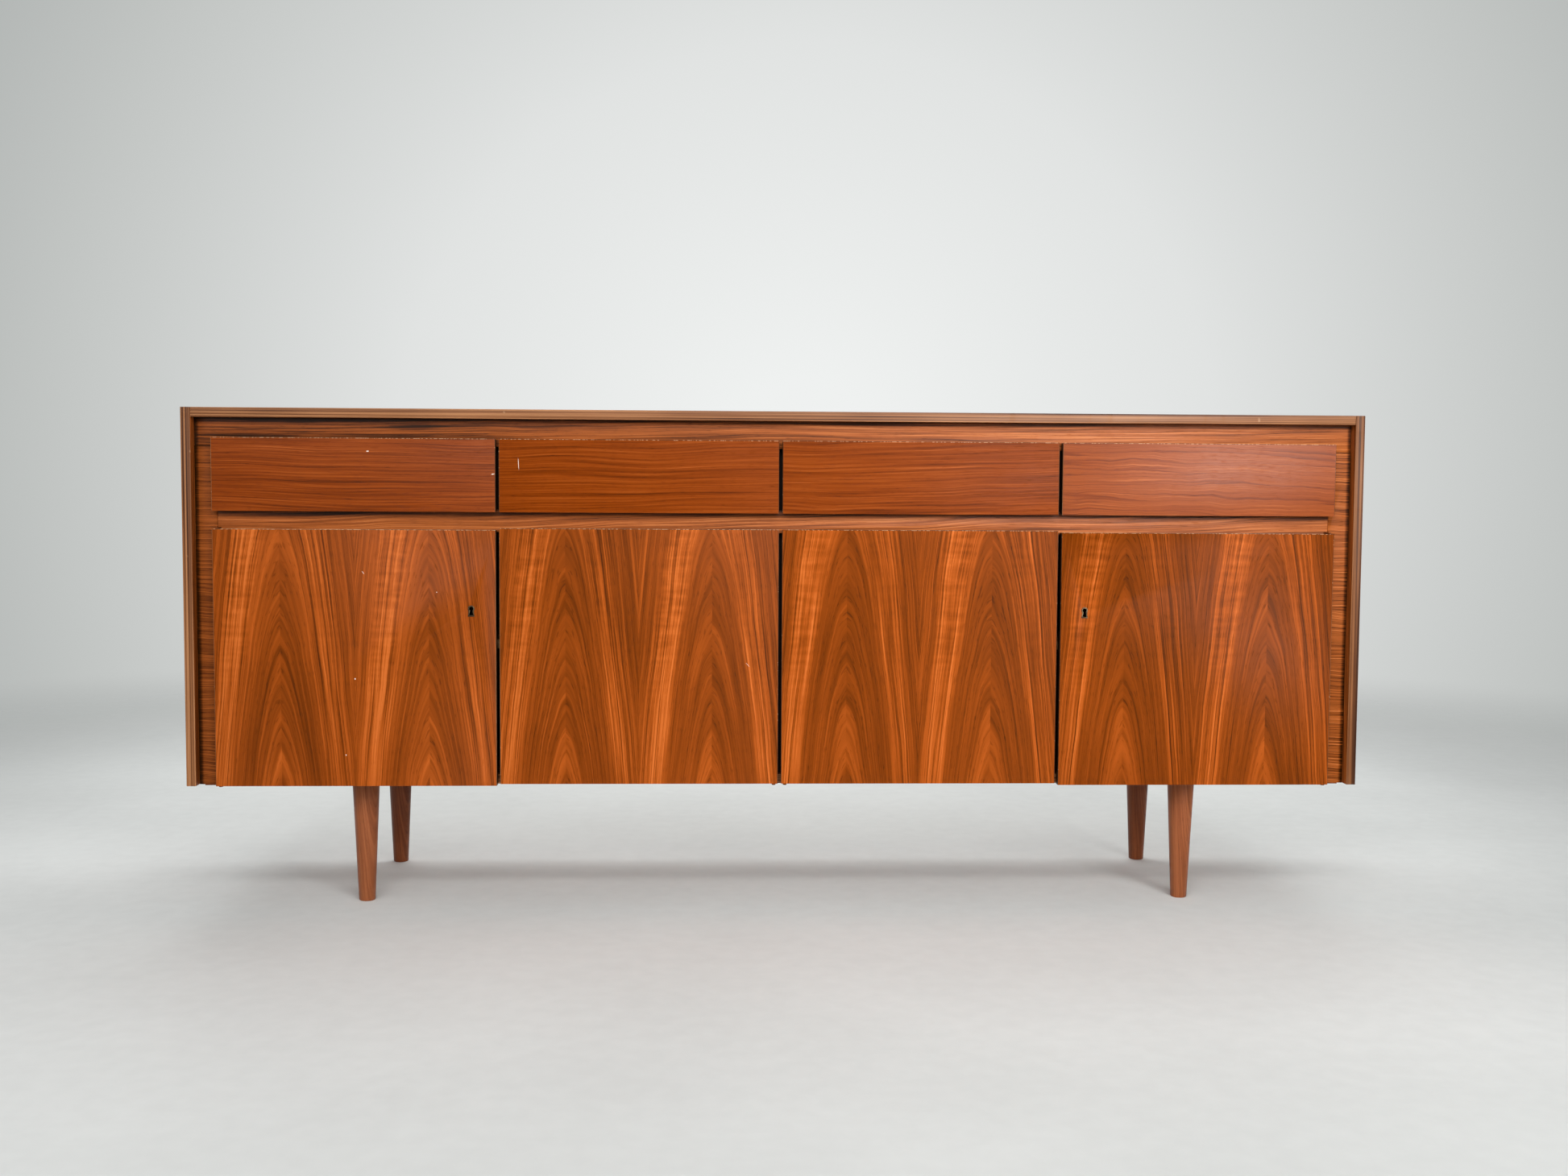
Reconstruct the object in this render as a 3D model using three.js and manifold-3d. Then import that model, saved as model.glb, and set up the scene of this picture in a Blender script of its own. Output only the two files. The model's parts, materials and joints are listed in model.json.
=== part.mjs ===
// A low sideboard of the 1960s: a veneered case on four turned legs, with a row of four drawers
// over two cupboards, each closed by a pair of doors.
//
// Millimetres, +Z up. The origin is on the floor under the middle of the case, +X runs along the
// front to the viewer's right and the fronts face -Y.

import * as THREE from 'three';
import { mergeVertices } from 'three/addons/utils/BufferGeometryUtils.js';
import Module from 'manifold-3d';

const wasm = await Module();
wasm.setup();

// ---------------------------------------------------------------------------------------------
// Driving dimensions

const caseWidth = 2000;
const caseDepth = 460;
const caseHeight = 637;
const legHeight = 217;

const panel = 16; // case panels, doors and drawer fronts
const frameBoard = 18; // rails and stiles of the face frame
const shelfBoard = 12; // dust panel that the drawers run on
const backBoard = 5;
const seam = 0.3; // gap between pieces that touch

const frontGap = 6; // upright gap between neighbouring fronts
const stileReveal = 33; // stile seen beside the outer fronts
const frontOverlap = 4; // how far a front laps over the stile
const stileSetback = 18.5; // face of the stiles behind the fronts
const railStep = 1; // faces of the rails behind those of the stiles

const upperRailDrop = 62.5; // lower edge of the upper rail below the top
const drawerDrop = 49.5; // upper edge of the drawer fronts below the top
const drawerHeight = 123;
const middleRailDrop = 168;
const middleRailHeight = 38;
const innerDoorDrop = 199.5;
const outerDoorDrop = 202.5;
const doorHeight = 434.5;

const legInsetX = 281; // leg centre from the side of the case
const legInsetY = 85; // leg centre from the front and the back of the case
const legTopRadius = 23.4;
const legFootRadius = 14;

// ---------------------------------------------------------------------------------------------
// Places worked out from them

const caseBottom = legHeight;
const caseTop = caseBottom + caseHeight;
const below = (drop) => caseTop - drop;

const sideFace = caseWidth / 2 - panel; // inner face of a side panel
const fitted = sideFace - seam; // where a panel between the sides ends
const frontEdge = sideFace - stileReveal; // outer edge of the outer fronts
const stileInner = frontEdge - frontOverlap;
const frontWidth = (2 * frontEdge - 3 * frontGap) / 4;
const innerCentre = (frontWidth + frontGap) / 2;
const outerCentre = innerCentre + frontWidth + frontGap;
const dividerCentre = frontWidth + frontGap; // middle of the gap between an outer and an inner front

const front = -caseDepth / 2;
const back = caseDepth / 2;
const stileFace = front + stileSetback;
const stileBack = stileFace + frameBoard;
const railFace = stileFace + railStep;
const railBack = railFace + frameBoard;
const coreFront = railBack + seam;
const rebateDepth = backBoard + seam;
const rebateWidth = panel / 2;
const overshoot = 1; // how far a cutter runs past the face that it opens
const coreBack = back - rebateDepth - seam;

const floorTop = caseBottom + panel; // upper face of the bottom panel
const upperRailBottom = below(upperRailDrop);
const middleRailTop = below(middleRailDrop);
const middleRailBottom = middleRailTop - middleRailHeight;
const dustPanelBottom = middleRailTop - shelfBoard;

const sides = [
  { name: 'left', sign: -1 },
  { name: 'right', sign: 1 },
];

// ---------------------------------------------------------------------------------------------
// Finishes

const finishes = {
  veneer: { color: 0xa0501f, roughness: 0.45, metalness: 0 },
  legWood: { color: 0x8a5238, roughness: 0.4, metalness: 0 },
  innerWood: { color: 0xc79a63, roughness: 0.6, metalness: 0 },
  hardboard: { color: 0x7a5436, roughness: 0.75, metalness: 0 },
  darkSteel: { color: 0x3a3632, roughness: 0.45, metalness: 1 },
  brass: { color: 0xb9a173, roughness: 0.35, metalness: 1 },
};

const sideboard = new THREE.Group();
sideboard.name = 'sideboard_buffet';

function addPiece(parent, name, geometry, finish, place = [0, 0, 0]) {
  const mesh = new THREE.Mesh(geometry, new THREE.MeshStandardMaterial(finishes[finish]));
  mesh.name = name;
  mesh.position.set(...place);
  parent.add(mesh);
  return mesh;
}

function addGroup(place) {
  const group = new THREE.Group();
  group.position.set(...place);
  sideboard.add(group);
  return group;
}

// ---------------------------------------------------------------------------------------------
// Shapes and booleans

// A board between two opposite corners.
function board([x0, x1], [y0, y1], [z0, z1]) {
  const geometry = new THREE.BoxGeometry(x1 - x0, y1 - y0, z1 - z0);
  return geometry.translate((x0 + x1) / 2, (y0 + y1) / 2, (z0 + z1) / 2);
}

// The same board on the left or the right of the middle, from distances out from it.
function sidedBoard(sign, [inner, outer], y, z) {
  const x = sign < 0 ? [-outer, -inner] : [inner, outer];
  return board(x, y, z);
}

// An upright round bar.
function bar(radius, x, y, [z0, z1], segments = 24) {
  const geometry = new THREE.CylinderGeometry(radius, radius, z1 - z0, segments);
  geometry.rotateX(Math.PI / 2);
  return geometry.translate(x, y, (z0 + z1) / 2);
}

// A flat outline in the plane of the floor, raised from z0 to z1.
function raised(shape, [z0, z1]) {
  const geometry = new THREE.ExtrudeGeometry(shape, { depth: z1 - z0, bevelEnabled: false });
  return geometry.translate(0, 0, z0);
}

// An outline drawn as seen from the front, cut from y0 back to y1.
function sunk(shape, [y0, y1]) {
  const geometry = new THREE.ExtrudeGeometry(shape, { depth: y1 - y0, bevelEnabled: false });
  geometry.rotateX(Math.PI / 2);
  return geometry.translate(0, y1, 0);
}

function toSolid(geometry) {
  const bare = geometry.clone();
  bare.deleteAttribute('normal');
  bare.deleteAttribute('uv');
  const welded = mergeVertices(bare, 1e-4);
  return new wasm.Manifold(new wasm.Mesh({
    numProp: 3,
    vertProperties: new Float32Array(welded.attributes.position.array),
    triVerts: new Uint32Array(welded.index.array),
  }));
}

function toGeometry(solid) {
  const mesh = solid.getMesh();
  const geometry = new THREE.BufferGeometry();
  geometry.setAttribute('position', new THREE.BufferAttribute(new Float32Array(mesh.vertProperties), 3));
  geometry.setIndex(new THREE.BufferAttribute(new Uint32Array(mesh.triVerts), 1));
  geometry.computeVertexNormals();
  return geometry;
}

function cut(geometry, cutters) {
  let solid = toSolid(geometry);
  for (const cutter of cutters) solid = solid.subtract(toSolid(cutter));
  return toGeometry(solid);
}

function join(geometries) {
  let solid = toSolid(geometries[0]);
  for (const geometry of geometries.slice(1)) solid = solid.add(toSolid(geometry));
  return toGeometry(solid);
}

// ---------------------------------------------------------------------------------------------
// Pivot irons: flat plates with round-ended fingers that reach out over and under the doors and
// carry the pins that the doors turn on

const pivotInset = 6.5; // pin from the hinged edge of the door
const pivotDepth = 6; // pin from the front face of the door
const pivotY = front + pivotDepth;
const pinRadius = 2;
const pinClearance = 0.3;
const pinReach = 10; // how far a pin stands in the door
const ironThickness = 1.6;
const fingerRadius = 3.2;
const ironRise = 0.7; // upper irons above the outer doors
const fingerRoot = 1; // the fingers join the plate this far behind the faces of the rails
const upperIronDepth = 12; // plate let into the middle rail
const lowerIronDepth = 40; // plate under the bottom panel
const outerIronReach = 31; // outer plates past their pins, behind the stiles
const outerPivotX = frontEdge - pivotInset;
const centrePivotX = frontGap / 2 + pivotInset;

const outerDoorTop = below(outerDoorDrop);
const innerDoorTop = below(innerDoorDrop);
const outerDoorBottom = outerDoorTop - doorHeight;
const innerDoorBottom = innerDoorTop - doorHeight;

const upperIron = outerDoorTop + ironRise;
const outerLowerIron = caseBottom - seam - ironThickness;
const centreLowerIron = caseBottom + seam;
const ironRoot = railFace + fingerRoot;
const upperIronBack = ironRoot + upperIronDepth;
const lowerIronBack = ironRoot + lowerIronDepth;

// The flat of an iron: one finger at each pivot and the plate behind them. spread is the clearance
// that the pocket cut for it needs.
function ironFlat({ pivots, plate: [plateX0, plateX1], plateBack, base }, spread = 0) {
  const z = [base - spread, base + ironThickness + spread];
  const half = fingerRadius + spread;
  const plate = board([plateX0 - spread, plateX1 + spread], [ironRoot - spread, plateBack + spread], z);
  const fingers = pivots.flatMap((x) => [
    board([x - half, x + half], [pivotY, ironRoot + overshoot], z),
    bar(half, x, pivotY, z),
  ]);
  return join([plate, ...fingers]);
}

// pinTo is the height that the pins reach, above or below the flat.
function iron(layout, pinTo) {
  const middle = layout.base + ironThickness / 2;
  const span = [Math.min(middle, pinTo), Math.max(middle, pinTo)];
  return join([ironFlat(layout), ...layout.pivots.map((x) => bar(pinRadius, x, pivotY, span))]);
}

function outerIronLayout(sign, plateBack, base) {
  const plateEdges = [sign * (outerPivotX - fingerRadius), sign * (outerPivotX + outerIronReach)];
  return { pivots: [sign * outerPivotX], plate: plateEdges.sort((a, b) => a - b), plateBack, base };
}

function centreIronLayout(plateBack, base) {
  const half = centrePivotX + fingerRadius;
  return { pivots: [-centrePivotX, centrePivotX], plate: [-half, half], plateBack, base };
}

const upperIrons = {
  left: outerIronLayout(-1, upperIronBack, upperIron),
  centre: centreIronLayout(upperIronBack, upperIron),
  right: outerIronLayout(1, upperIronBack, upperIron),
};
const lowerIrons = {
  left: outerIronLayout(-1, lowerIronBack, outerLowerIron),
  centre: centreIronLayout(lowerIronBack, centreLowerIron),
  right: outerIronLayout(1, lowerIronBack, outerLowerIron),
};

function addPivotIrons() {
  for (const place of ['left', 'centre', 'right']) {
    const lowerDoorEdge = place === 'centre' ? innerDoorBottom : outerDoorBottom;
    const upperDoorEdge = place === 'centre' ? innerDoorTop : outerDoorTop;
    const upper = iron(upperIrons[place], upperDoorEdge - pinReach);
    const lower = iron(lowerIrons[place], lowerDoorEdge + pinReach);
    addPiece(sideboard, `${place}_upper_pivot_iron`, upper, 'darkSteel');
    addPiece(sideboard, `${place}_lower_pivot_iron`, lower, 'darkSteel');
  }
}

// ---------------------------------------------------------------------------------------------
// Case

const doorBoltRadius = 2.5;
const doorBoltInset = 30; // from the free edge of an inner door
const doorBoltX = frontGap / 2 + frontWidth - doorBoltInset;
const doorBoltY = stileFace + 10.5;
const doorBoltTravel = 12;
const doorBoltHole = 14;

function addTopPanel() {
  const slab = board([-fitted, fitted], [front, back], [caseTop - panel, caseTop]);
  const rebate = board(
    [-caseWidth, caseWidth],
    [back - rebateDepth, back + overshoot],
    [caseTop - panel - overshoot, caseTop - rebateWidth],
  );
  addPiece(sideboard, 'top_panel', cut(slab, [rebate]), 'veneer');
}

// The bottom panel is notched at its front corners, where the stiles run down past it.
function addBottomPanel() {
  const notch = stileBack + seam;
  const lip = stileInner - seam;
  const outline = new THREE.Shape();
  outline.moveTo(-lip, railFace);
  outline.lineTo(lip, railFace);
  outline.lineTo(lip, notch);
  outline.lineTo(fitted, notch);
  outline.lineTo(fitted, back);
  outline.lineTo(-fitted, back);
  outline.lineTo(-fitted, notch);
  outline.lineTo(-lip, notch);
  const rebate = board(
    [-caseWidth, caseWidth],
    [back - rebateDepth, back + overshoot],
    [caseBottom + rebateWidth, floorTop + overshoot],
  );
  const ironPocket = board(
    [lowerIrons.centre.plate[0] - seam, lowerIrons.centre.plate[1] + seam],
    [railFace - overshoot, lowerIronBack + seam],
    [caseBottom - overshoot, centreLowerIron + ironThickness + seam],
  );
  const slab = raised(outline, [caseBottom, floorTop]);
  addPiece(sideboard, 'bottom_panel', cut(slab, [rebate, ironPocket]), 'veneer');
}

function addSidePanel({ name, sign }) {
  const outline = new THREE.Shape();
  const outside = sign * caseWidth / 2;
  const inside = sign * sideFace;
  const rebateX = sign * (sideFace + rebateWidth);
  outline.moveTo(outside, front);
  outline.lineTo(inside, front);
  outline.lineTo(inside, back - rebateDepth);
  outline.lineTo(rebateX, back - rebateDepth);
  outline.lineTo(rebateX, back);
  outline.lineTo(outside, back);
  addPiece(sideboard, `${name}_side_panel`, raised(outline, [caseBottom, caseTop]), 'veneer');
}

function addBackPanel({ name, sign }) {
  const tongue = rebateWidth - seam;
  const geometry = sidedBoard(
    sign,
    [seam, sideFace + tongue],
    [back - backBoard, back],
    [floorTop - tongue, caseTop - panel + tongue],
  );
  addPiece(sideboard, `${name}_back_panel`, geometry, 'hardboard');
}

function addFaceFrame() {
  const upperRail = board(
    [-fitted, fitted],
    [railFace, railBack],
    [upperRailBottom, caseTop - panel - seam],
  );
  addPiece(sideboard, 'upper_rail', upperRail, 'veneer');

  const ironPockets = Object.values(upperIrons).map((layout) => ironFlat(layout, seam));
  const railEnd = stileInner - seam;
  const middleRail = board([-railEnd, railEnd], [railFace, railBack], [middleRailBottom, middleRailTop]);
  const boltHoles = sides.map(({ sign }) => bar(
    doorBoltRadius + seam,
    sign * doorBoltX,
    doorBoltY,
    [middleRailBottom - overshoot, middleRailBottom + doorBoltHole],
  ));
  addPiece(sideboard, 'middle_rail', cut(middleRail, [...ironPockets, ...boltHoles]), 'veneer');

  for (const { name, sign } of sides) {
    const stile = sidedBoard(
      sign,
      [stileInner, fitted],
      [stileFace, stileBack],
      [caseBottom, upperRailBottom - seam],
    );
    addPiece(sideboard, `${name}_stile`, cut(stile, [ironFlat(upperIrons[name], seam)]), 'veneer');
  }
}

const guideHeight = 18;
const guideClearance = 1;
const shelfSetback = 20; // shelf behind the face frame
const shelfClearance = 2;
const drawerBoxWidth = 456;

function addInside() {
  const depth = [coreFront, coreBack];
  const partitionHalf = panel / 2;
  const partition = board([-partitionHalf, partitionHalf], depth, [floorTop + seam, caseTop - panel - seam]);
  addPiece(sideboard, 'centre_partition', partition, 'innerWood');

  const aboveDust = middleRailTop + seam;
  const boxOuter = outerCentre + drawerBoxWidth / 2;
  const cupboardMiddle = (floorTop + dustPanelBottom) / 2;
  for (const { name, sign } of sides) {
    const dustHeight = [dustPanelBottom, middleRailTop];
    const dustPanel = sidedBoard(sign, [partitionHalf + seam, fitted], depth, dustHeight);
    addPiece(sideboard, `${name}_dust_panel`, dustPanel, 'innerWood');

    const divider = sidedBoard(
      sign,
      [dividerCentre - partitionHalf, dividerCentre + partitionHalf],
      depth,
      [aboveDust, caseTop - panel - seam],
    );
    addPiece(sideboard, `${name}_drawer_divider`, divider, 'innerWood');

    const guide = sidedBoard(
      sign,
      [boxOuter + guideClearance, fitted],
      depth,
      [aboveDust, aboveDust + guideHeight],
    );
    addPiece(sideboard, `${name}_drawer_guide`, guide, 'innerWood');

    const shelf = sidedBoard(
      sign,
      [partitionHalf + shelfClearance, sideFace - shelfClearance],
      [railBack + shelfSetback, coreBack - shelfSetback],
      [cupboardMiddle - panel / 2, cupboardMiddle + panel / 2],
    );
    addPiece(sideboard, `${name}_cupboard_shelf`, shelf, 'innerWood');
  }
}

// ---------------------------------------------------------------------------------------------
// Legs: turned, tapered, and screwed onto the stud of a plate under the case

const plateSize = 62;
const plateThickness = 3;
const studRadius = 4;
const studLength = 22;
const socketSpare = 2; // socket deeper than the stud
const footRound = 2;
const legTopChamfer = 1;

function legGeometry() {
  const top = caseBottom - seam - plateThickness - seam;
  const socketRadius = studRadius + seam;
  const socketFloor = top - studLength - socketSpare;
  const footCorner = footRound * (1 - Math.SQRT1_2); // a round of the foot at its middle
  const profile = [
    [0, 0],
    [legFootRadius - footRound, 0],
    [legFootRadius - footCorner, footCorner],
    [legFootRadius, footRound],
    [legTopRadius, top - legTopChamfer],
    [legTopRadius - legTopChamfer, top],
    [socketRadius, top],
    [socketRadius, socketFloor],
    [0, socketFloor],
  ];
  const points = profile.map(([radius, height]) => new THREE.Vector2(radius, height));
  return new THREE.LatheGeometry(points, 40).rotateX(Math.PI / 2);
}

function legPlateGeometry() {
  const half = plateSize / 2;
  const plateTop = caseBottom - seam;
  const plateBottom = plateTop - plateThickness;
  const plate = board([-half, half], [-half, half], [plateBottom, plateTop]);
  return join([plate, bar(studRadius, 0, 0, [plateBottom - studLength, plateTop - plateThickness / 2])]);
}

function addLegs() {
  const legX = caseWidth / 2 - legInsetX;
  const legY = caseDepth / 2 - legInsetY;
  for (const { name, sign } of sides) {
    for (const [end, y] of [['front', -legY], ['back', legY]]) {
      const place = [sign * legX, y, 0];
      addPiece(sideboard, `${end}_${name}_leg`, legGeometry(), 'legWood', place);
      addPiece(sideboard, `${end}_${name}_leg_plate`, legPlateGeometry(), 'darkSteel', place);
    }
  }
}

// ---------------------------------------------------------------------------------------------
// Drawers, each in a group whose origin is at the middle of the lower edge of its front

const drawerBottom = below(drawerDrop) - drawerHeight;
const boxHeight = 96;
const boxLength = 390;
const boxWall = 12;
const boxRunning = 0.5; // box above the dust panel
const pullBevel = 8; // bevel behind the lower edge of the front, for fingers
const bottomBoard = 4;
const bottomRaise = 8; // underside of the drawer bottom above the box's lower edge
const grooveDepth = 6;

function drawerFrontGeometry() {
  const profile = new THREE.Shape();
  profile.moveTo(0, 0);
  profile.lineTo(panel - pullBevel, 0);
  profile.lineTo(panel, pullBevel);
  profile.lineTo(panel, drawerHeight);
  profile.lineTo(0, drawerHeight);
  const geometry = new THREE.ExtrudeGeometry(profile, { depth: frontWidth, bevelEnabled: false });
  geometry.rotateX(Math.PI / 2).rotateZ(Math.PI / 2);
  return geometry.translate(-frontWidth / 2, 0, 0);
}

// Both sides and the back of the box, grooved around the inside for the bottom.
function drawerBoxGeometry(boxFloor) {
  const half = drawerBoxWidth / 2;
  const inner = half - boxWall;
  const y0 = panel + seam;
  const y1 = y0 + boxLength;
  const outline = new THREE.Shape();
  outline.moveTo(-half, y0);
  outline.lineTo(-inner, y0);
  outline.lineTo(-inner, y1 - boxWall);
  outline.lineTo(inner, y1 - boxWall);
  outline.lineTo(inner, y0);
  outline.lineTo(half, y0);
  outline.lineTo(half, y1);
  outline.lineTo(-half, y1);
  const groove = board(
    [-inner - grooveDepth, inner + grooveDepth],
    [y0 - overshoot, y1 - boxWall + grooveDepth],
    [boxFloor + bottomRaise - seam, boxFloor + bottomRaise + bottomBoard + seam],
  );
  return cut(raised(outline, [boxFloor, boxFloor + boxHeight]), [groove]);
}

function drawerBottomGeometry(boxFloor) {
  const half = drawerBoxWidth / 2 - boxWall + grooveDepth - seam;
  const y0 = panel + seam;
  const y1 = y0 + boxLength - boxWall + grooveDepth - seam;
  const z0 = boxFloor + bottomRaise;
  return board([-half, half], [y0, y1], [z0, z0 + bottomBoard]);
}

function addDrawer(name, x) {
  const group = addGroup([x, front, drawerBottom]);
  const boxFloor = middleRailTop + boxRunning - drawerBottom;
  addPiece(group, `${name}_drawer_front`, drawerFrontGeometry(), 'veneer');
  addPiece(group, `${name}_drawer_box`, drawerBoxGeometry(boxFloor), 'innerWood');
  addPiece(group, `${name}_drawer_bottom`, drawerBottomGeometry(boxFloor), 'innerWood');
}

// ---------------------------------------------------------------------------------------------
// Doors, each in a group whose origin is at the front lower corner of its hinged edge. inward is
// the direction from that edge across the door.

const keyholeBackset = 41.5; // keyhole from the free edge
const keyholeDrop = 133; // middle of the round of the keyhole below the top of the door
const keyholeRadius = 3.5;
const keyholeNeck = 2; // half width where the slot leaves the round
const keyholeFoot = 3.5; // half width at the lower end of the slot
const keyholeReach = 11; // lower end below the middle of the round
const rimWall = 2;
const rimSetback = 0.2;
const rimDepth = 4.5;
const lockSkin = 5; // wood left in front of the lock
const lockLength = 58;
const lockHeight = 62;
const lockBoltTravel = 12;
const lockBoltLength = 32;
const lockBoltHeight = 16;
const lockBoltThickness = 5;
const lockBoltY = 10.5; // middle of the bolt behind the front face
const lockDrop = keyholeDrop + 6; // middle of the lock below the top of the door
const strikeSpare = 3; // left at the bottom of the mortise when the bolt is out
const strikeDepth = lockBoltTravel - frontGap + strikeSpare; // mortise in an inner door's free edge
const strikeClearance = 0.5;

// The keyhole as seen from the front, with every edge moved out by grow.
function keyholeShape(grow) {
  const radius = keyholeRadius + grow;
  const neck = keyholeNeck + grow;
  const foot = keyholeFoot + grow;
  const start = -Math.acos(neck / radius);
  const shape = new THREE.Shape();
  shape.absarc(0, 0, radius, start, Math.PI - start, false);
  shape.lineTo(-foot, -keyholeReach - grow);
  shape.lineTo(foot, -keyholeReach - grow);
  return shape;
}

function keyholeAt(grow, x, z, y) {
  return sunk(keyholeShape(grow), y).translate(x, 0, z);
}

function doorSlab(inward) {
  return sidedBoard(inward, [0, frontWidth], [0, panel], [0, doorHeight]);
}

function pivotHoles(inward) {
  const x = inward * pivotInset;
  const radius = pinRadius + pinClearance;
  const depth = pinReach + overshoot;
  return [
    bar(radius, x, pivotDepth, [-overshoot, depth]),
    bar(radius, x, pivotDepth, [doorHeight - depth, doorHeight + overshoot]),
  ];
}

function addKeyholeRim(group, name, x, z) {
  const shape = keyholeShape(rimWall);
  shape.holes.push(keyholeShape(0));
  const geometry = sunk(shape, [rimSetback, rimSetback + rimDepth]).translate(x, 0, z);
  addPiece(group, `${name}_keyhole_rim`, geometry, 'brass');
}

function addLock(group, name, inward, keyholeX, keyholeZ, lockZ) {
  const freeEdge = frontWidth - seam;
  const caseInner = frontWidth - lockLength + seam;
  const half = lockHeight / 2 - seam;
  const height = [lockZ - half, lockZ + half];
  const body = sidedBoard(inward, [caseInner, freeEdge], [lockSkin + seam, panel], height);
  const boltHalf = lockBoltHeight / 2;
  const boltY = [lockBoltY - lockBoltThickness / 2, lockBoltY + lockBoltThickness / 2];
  const channel = sidedBoard(
    inward,
    [freeEdge - lockBoltLength - overshoot, frontWidth + overshoot],
    [boltY[0] - seam, boltY[1] + seam],
    [lockZ - boltHalf - seam, lockZ + boltHalf + seam],
  );
  const keyway = keyholeAt(seam, keyholeX, keyholeZ, [lockSkin, lockBoltY]);
  addPiece(group, `${name}_lock_case`, cut(body, [channel, keyway]), 'darkSteel');

  const bolt = sidedBoard(
    inward,
    [freeEdge - lockBoltLength, freeEdge],
    boltY,
    [lockZ - boltHalf, lockZ + boltHalf],
  );
  addPiece(group, `${name}_lock_bolt`, bolt, 'brass');
}

// An outer door turns on pins at the end of the case and carries the lock at its free edge.
function addOuterDoor({ name, sign }) {
  const group = addGroup([sign * frontEdge, front, outerDoorBottom]);
  const inward = -sign;
  const keyholeX = inward * (frontWidth - keyholeBackset);
  const keyholeZ = doorHeight - keyholeDrop;
  const lockZ = doorHeight - lockDrop;
  const pocket = sidedBoard(
    inward,
    [frontWidth - lockLength, frontWidth + overshoot],
    [lockSkin, panel + overshoot],
    [lockZ - lockHeight / 2, lockZ + lockHeight / 2],
  );
  const keyhole = keyholeAt(rimWall + seam, keyholeX, keyholeZ, [-overshoot, lockSkin + overshoot]);
  const geometry = cut(doorSlab(inward), [...pivotHoles(inward), pocket, keyhole]);
  const fullName = `outer_${name}`;
  addPiece(group, `${fullName}_door`, geometry, 'veneer');
  addKeyholeRim(group, fullName, keyholeX, keyholeZ);
  addLock(group, fullName, inward, keyholeX, keyholeZ, lockZ);
}

const housingDrop = 3; // top of the bolt's housing below the middle rail
const housingWidth = 18;
const housingHeight = 46;
const housingWall = 2.5; // behind the bolt
const housingFloor = 4;
const boltFootGap = 1; // lower end of the drawn bolt above the floor of its housing
const boltStandProud = 1.5; // upper end of the drawn bolt above its housing
const knobRise = 14; // knob above the lower end of the housing
const knobLength = 12;
const knobRadius = 2;
const knobSlot = 2.4; // half width of the slot that the knob slides in

// The upright bolt that holds an inner door to the middle rail, in the case's own coordinates.
function addDoorBolt({ name, sign }) {
  const x = sign * doorBoltX;
  const top = middleRailBottom - housingDrop;
  const floor = top - housingHeight;
  const backFace = front + panel + seam;
  const housingBack = doorBoltY + doorBoltRadius + housingWall;
  const housingHalf = housingWidth / 2;
  const block = board([x - housingHalf, x + housingHalf], [backFace, housingBack], [floor, top]);
  const channel = bar(doorBoltRadius + seam, x, doorBoltY, [floor + housingFloor, top + overshoot]);
  const knobZ = floor + knobRise;
  const slot = board(
    [x - knobSlot, x + knobSlot],
    [doorBoltY, housingBack + overshoot],
    [knobZ - knobSlot, knobZ + doorBoltTravel + knobSlot],
  );
  addPiece(sideboard, `inner_${name}_bolt_housing`, cut(block, [channel, slot]), 'darkSteel');

  const rodFoot = floor + housingFloor + boltFootGap;
  const rod = bar(doorBoltRadius, x, doorBoltY, [rodFoot, top + boltStandProud]);
  const knob = new THREE.CylinderGeometry(knobRadius, knobRadius, knobLength, 20);
  knob.translate(x, doorBoltY + knobLength / 2, knobZ);
  addPiece(sideboard, `inner_${name}_door_bolt`, join([rod, knob]), 'brass');
}

// An inner door turns on pins beside the centre partition. Its upper edge is notched for the pivot
// iron, and its free edge takes the bolt of the lock.
function addInnerDoor({ name, sign }) {
  const group = addGroup([sign * frontGap / 2, front, innerDoorBottom]);
  const inward = sign;
  const ironNotch = sidedBoard(
    inward,
    [-overshoot, pivotInset + fingerRadius + seam],
    [pivotDepth - fingerRadius - seam, panel + overshoot],
    [upperIron - seam - innerDoorBottom, doorHeight + overshoot],
  );
  const lockZ = outerDoorTop - lockDrop - innerDoorBottom;
  const strikeHalf = lockBoltHeight / 2 + strikeClearance;
  const strikeHalfY = lockBoltThickness / 2 + strikeClearance;
  const strike = sidedBoard(
    inward,
    [frontWidth - strikeDepth, frontWidth + overshoot],
    [lockBoltY - strikeHalfY, lockBoltY + strikeHalfY],
    [lockZ - strikeHalf, lockZ + strikeHalf],
  );
  const geometry = cut(doorSlab(inward), [...pivotHoles(inward), ironNotch, strike]);
  addPiece(group, `inner_${name}_door`, geometry, 'veneer');
}

// ---------------------------------------------------------------------------------------------
// Assembly

addTopPanel();
addBottomPanel();
addFaceFrame();
addInside();
addPivotIrons();
addLegs();
for (const side of sides) {
  addSidePanel(side);
  addBackPanel(side);
  addDrawer(`outer_${side.name}`, side.sign * outerCentre);
  addDrawer(`inner_${side.name}`, side.sign * innerCentre);
  addOuterDoor(side);
  addInnerDoor(side);
  addDoorBolt(side);
}

export default sideboard;
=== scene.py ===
"""How the veneered sideboard looks: its woods and metals, small fittings, floor, light and camera.

Metres, +Z up; the fronts face -Y and +X runs to the viewer's right.
"""

import itertools
import json
import math

import bpy
from mathutils import Matrix, Vector

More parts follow.
